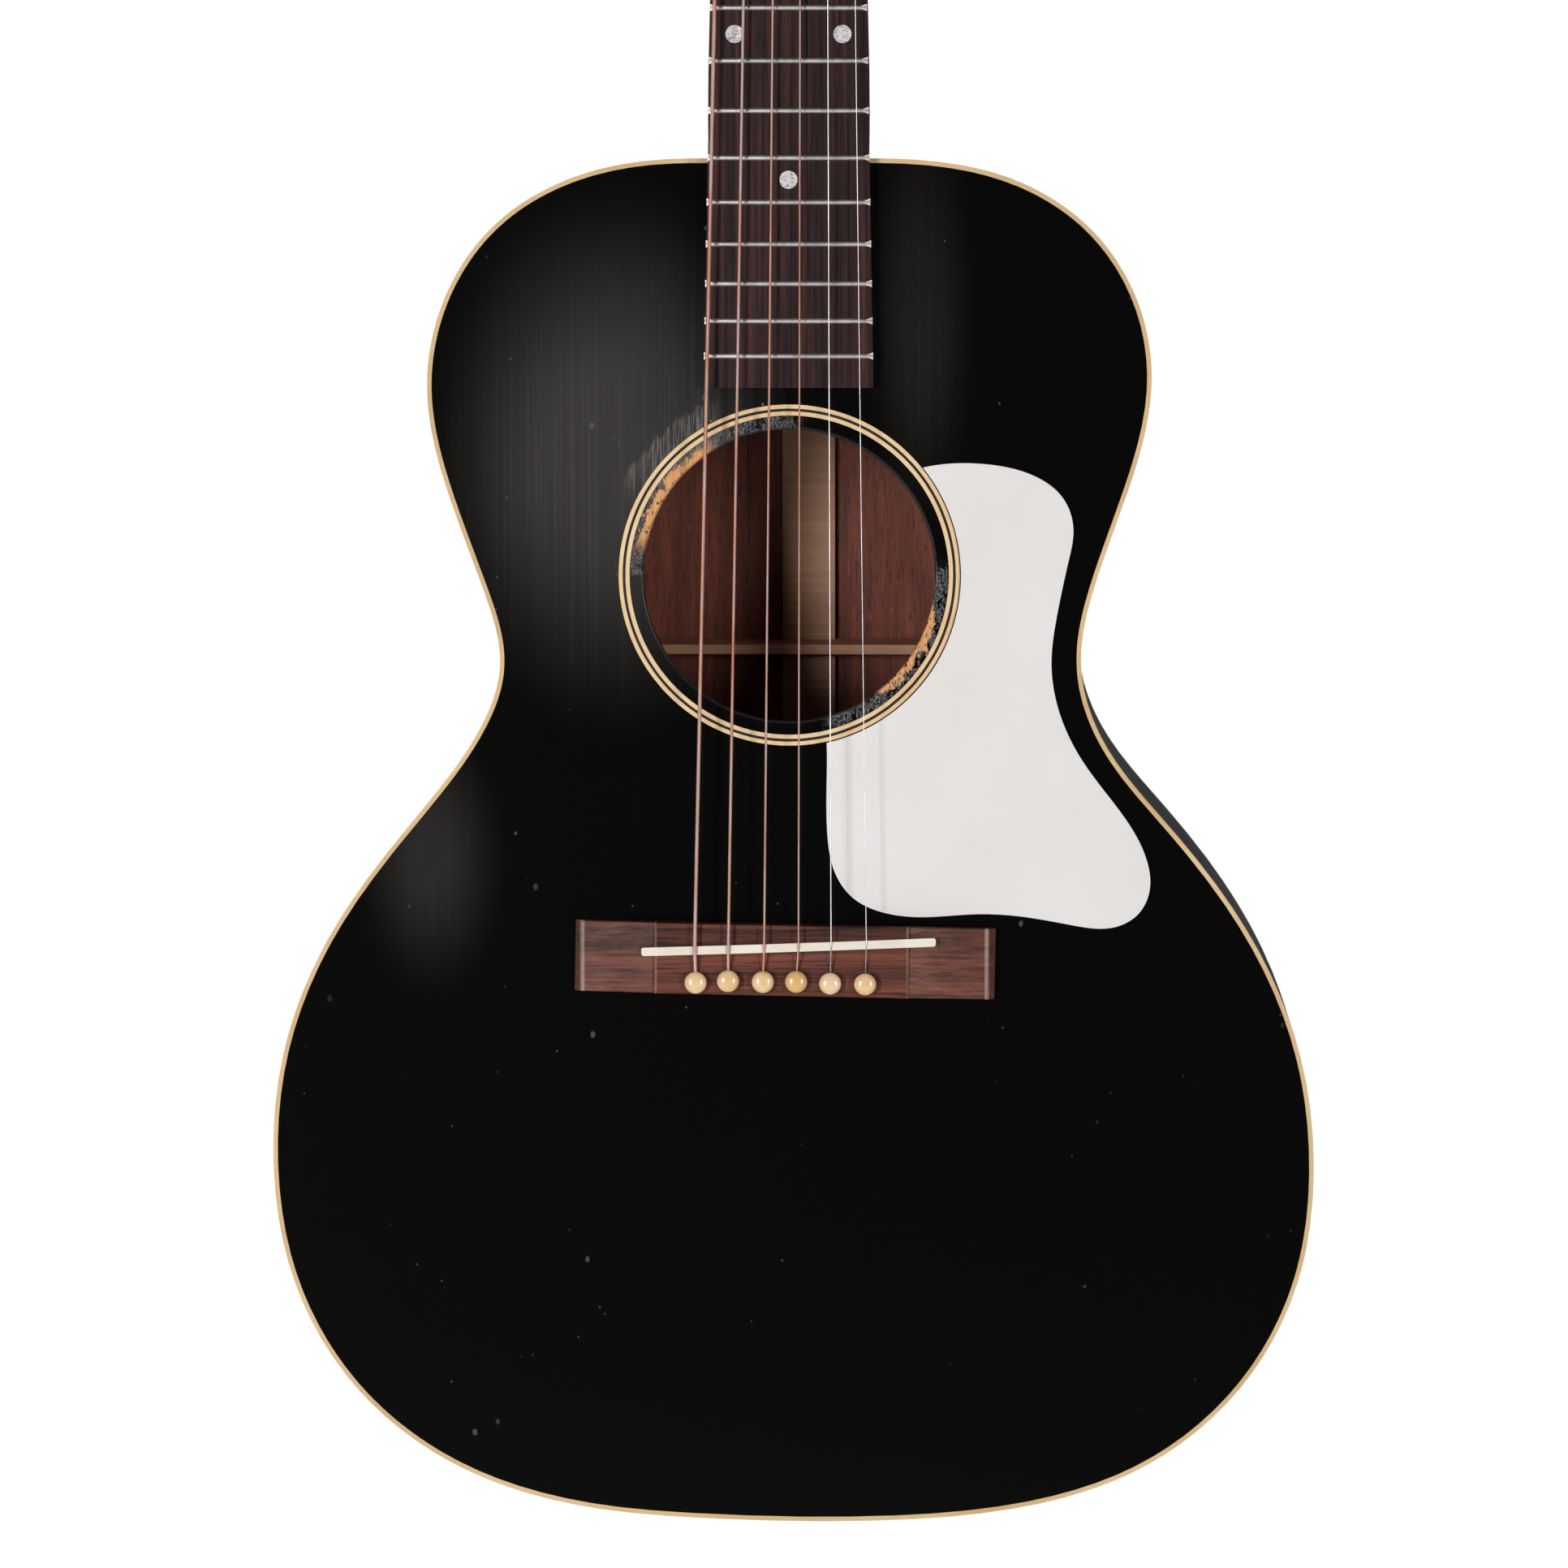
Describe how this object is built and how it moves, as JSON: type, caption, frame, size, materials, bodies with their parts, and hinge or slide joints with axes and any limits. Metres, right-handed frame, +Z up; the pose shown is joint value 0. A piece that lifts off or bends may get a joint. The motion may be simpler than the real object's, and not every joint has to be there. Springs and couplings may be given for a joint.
{
  "type": "acoustic guitar",
  "caption": "Small-bodied steel-string acoustic guitar, slim waist, round sound hole, pinned bridge, and geared tuners that turn their posts.",
  "frame": {"origin": "middle of the nut's front face, in the plane of the soundboard's front; it is also the point where a hanger's yoke holds the neck, under the headstock's ears", "axes": "+Z up the neck towards the headstock, +X towards the treble side, +Y from the soundboard into the body, so the front faces -Y"},
  "size_m": [0.3728, 0.1217, 1.0278],
  "materials": {
    "black_lacquer": "gloss lacquer, aged",
    "sides_back_wood": "gloss lacquer over mahogany",
    "binding_cream": "polished celluloid",
    "rosette_rings": "polished celluloid",
    "guard_white": "smooth",
    "rosewood": "oiled",
    "board_rosewood": "oiled",
    "bone": "polished",
    "ivory_pins": "polished",
    "pearl": "polished",
    "nickel": "worn nickel",
    "steel": "plain",
    "brass": "plain",
    "bronze_string": "wound phosphor bronze",
    "steel_string": "drawn",
    "neck_wood": "dark lacquer over mahogany",
    "veneer_black": "gloss",
    "cover_plastic": "gloss",
    "button_cream": "moulded",
    "mahogany_inside": "bare",
    "spruce_inside": "bare",
    "maple_inside": "bare"
  },
  "bodies": {
    "guitar": {"soundboard": "black_lacquer", "back": "sides_back_wood", "bass_side": "sides_back_wood", "treble_side": "sides_back_wood", "binding": "binding_cream", "rosette": "rosette_rings", "pickguard": "guard_white", "bridge": "rosewood", "saddle": "bone", "bridge_pins": "ivory_pins", "neck": "neck_wood", "fretboard": "board_rosewood", "frets": "nickel", "position_dots": "pearl", "nut": "bone", "truss_rod": "steel", "truss_rod_cover": "cover_plastic", "headstock_veneer": "veneer_black", "end_pin": "ivory_pins", "neck_block": "mahogany_inside", "tail_block": "mahogany_inside", "linings": "mahogany_inside", "top_braces": "spruce_inside", "bridge_plate": "maple_inside", "back_braces": "spruce_inside", "tuner_plate_bass": "nickel", "tuner_plate_treble": "nickel", "tuner_bushings": "nickel", "headstock_screws": "nickel", "string_1": "steel_string", "string_2": "steel_string", "string_3": "bronze_string", "string_4": "bronze_string", "string_5": "bronze_string", "string_6": "bronze_string"},
    "rod_nut": {"truss_rod_nut": "brass"},
    "tuner_key_1": {"worm_shaft_1": "steel", "tuner_button_1": "button_cream"},
    "tuner_post_1": {"string_post_1": "nickel", "post_winding_1": "steel_string"},
    "tuner_key_2": {"worm_shaft_2": "steel", "tuner_button_2": "button_cream"},
    "tuner_post_2": {"string_post_2": "nickel", "post_winding_2": "steel_string"},
    "tuner_key_3": {"worm_shaft_3": "steel", "tuner_button_3": "button_cream"},
    "tuner_post_3": {"string_post_3": "nickel", "post_winding_3": "bronze_string"},
    "tuner_key_4": {"worm_shaft_4": "steel", "tuner_button_4": "button_cream"},
    "tuner_post_4": {"string_post_4": "nickel", "post_winding_4": "bronze_string"},
    "tuner_key_5": {"worm_shaft_5": "steel", "tuner_button_5": "button_cream"},
    "tuner_post_5": {"string_post_5": "nickel", "post_winding_5": "bronze_string"},
    "tuner_key_6": {"worm_shaft_6": "steel", "tuner_button_6": "button_cream"},
    "tuner_post_6": {"string_post_6": "nickel", "post_winding_6": "bronze_string"}
  },
  "joints": [
    {"name": "rod_nut_turn", "type": "hinge", "parent": "guitar", "child": "rod_nut", "pos_m": [0, 0.0085, 0.015], "axis": [0, 0, 1], "range_deg": [-180, 180]},
    {"name": "key_1_turn", "type": "hinge", "parent": "guitar", "child": "tuner_key_1", "pos_m": [0.021, 0.03144, 0.04474], "axis": [1, 0, 0], "continuous": true},
    {"name": "key_2_turn", "type": "hinge", "parent": "guitar", "child": "tuner_key_2", "pos_m": [0.021, 0.04314, 0.083], "axis": [1, 0, 0], "continuous": true},
    {"name": "key_3_turn", "type": "hinge", "parent": "guitar", "child": "tuner_key_3", "pos_m": [0.021, 0.05483, 0.12125], "axis": [1, 0, 0], "continuous": true},
    {"name": "key_4_turn", "type": "hinge", "parent": "guitar", "child": "tuner_key_4", "pos_m": [-0.021, 0.05483, 0.12125], "axis": [1, 0, 0], "continuous": true},
    {"name": "key_5_turn", "type": "hinge", "parent": "guitar", "child": "tuner_key_5", "pos_m": [-0.021, 0.04314, 0.083], "axis": [1, 0, 0], "continuous": true},
    {"name": "key_6_turn", "type": "hinge", "parent": "guitar", "child": "tuner_key_6", "pos_m": [-0.021, 0.03144, 0.04474], "axis": [1, 0, 0], "continuous": true},
    {"name": "post_1_turn", "type": "hinge", "parent": "guitar", "child": "tuner_post_1", "pos_m": [0.021, 0.01169, 0.04325], "axis": [0, -0.9563, 0.2924], "continuous": true},
    {"name": "post_2_turn", "type": "hinge", "parent": "guitar", "child": "tuner_post_2", "pos_m": [0.021, 0.02339, 0.0815], "axis": [0, -0.9563, 0.2924], "continuous": true},
    {"name": "post_3_turn", "type": "hinge", "parent": "guitar", "child": "tuner_post_3", "pos_m": [0.021, 0.03508, 0.11976], "axis": [0, -0.9563, 0.2924], "continuous": true},
    {"name": "post_4_turn", "type": "hinge", "parent": "guitar", "child": "tuner_post_4", "pos_m": [-0.021, 0.03508, 0.11976], "axis": [0, -0.9563, 0.2924], "continuous": true},
    {"name": "post_5_turn", "type": "hinge", "parent": "guitar", "child": "tuner_post_5", "pos_m": [-0.021, 0.02339, 0.0815], "axis": [0, -0.9563, 0.2924], "continuous": true},
    {"name": "post_6_turn", "type": "hinge", "parent": "guitar", "child": "tuner_post_6", "pos_m": [-0.021, 0.01169, 0.04325], "axis": [0, -0.9563, 0.2924], "continuous": true}
  ],
  "couplings": [
    {"joint": "post_1_turn", "follows": "key_1_turn", "ratio": 0.071429},
    {"joint": "post_2_turn", "follows": "key_2_turn", "ratio": 0.071429},
    {"joint": "post_3_turn", "follows": "key_3_turn", "ratio": 0.071429},
    {"joint": "post_4_turn", "follows": "key_4_turn", "ratio": 0.071429},
    {"joint": "post_5_turn", "follows": "key_5_turn", "ratio": 0.071429},
    {"joint": "post_6_turn", "follows": "key_6_turn", "ratio": 0.071429}
  ]
}
